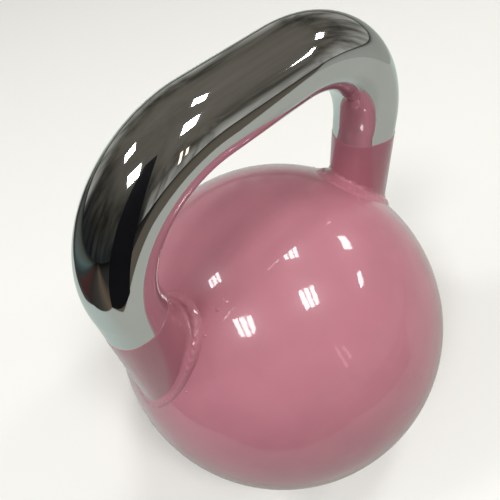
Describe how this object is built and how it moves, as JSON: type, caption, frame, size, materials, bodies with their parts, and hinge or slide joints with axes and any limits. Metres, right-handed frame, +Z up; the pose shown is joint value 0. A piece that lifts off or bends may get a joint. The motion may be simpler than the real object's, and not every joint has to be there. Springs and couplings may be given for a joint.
{
  "type": "kettlebell",
  "caption": "Steel-shell kettlebell: a gloss-painted hollow ball with a flat foot and a chrome-plated bent bar handle welded on top.",
  "frame": {"origin": "middle of the foot's resting plane, under the ball's centre", "axes": "+Z up through the ball and the handle; +X along the handle's grip; +Y across it"},
  "size_m": [0.21, 0.21, 0.28],
  "materials": {
    "body_paint": "gloss",
    "chrome_grip": "polished",
    "bare_steel": "satin",
    "plug_steel": "satin",
    "gasket_fibre": "matte",
    "iron_ballast": "matte"
  },
  "bodies": {
    "root": {"upper_shell": "body_paint", "lower_shell": "body_paint", "foot_plate": "body_paint", "plate_weld": "body_paint", "girth_weld": "body_paint", "left_handle_weld": "body_paint", "right_handle_weld": "body_paint", "handle_bar": "chrome_grip", "backing_ring": "bare_steel", "filler_boss": "bare_steel", "boss_weld": "bare_steel", "filler_plug": "plug_steel", "plug_gasket": "gasket_fibre", "ballast": "iron_ballast"}
  },
  "joints": []
}
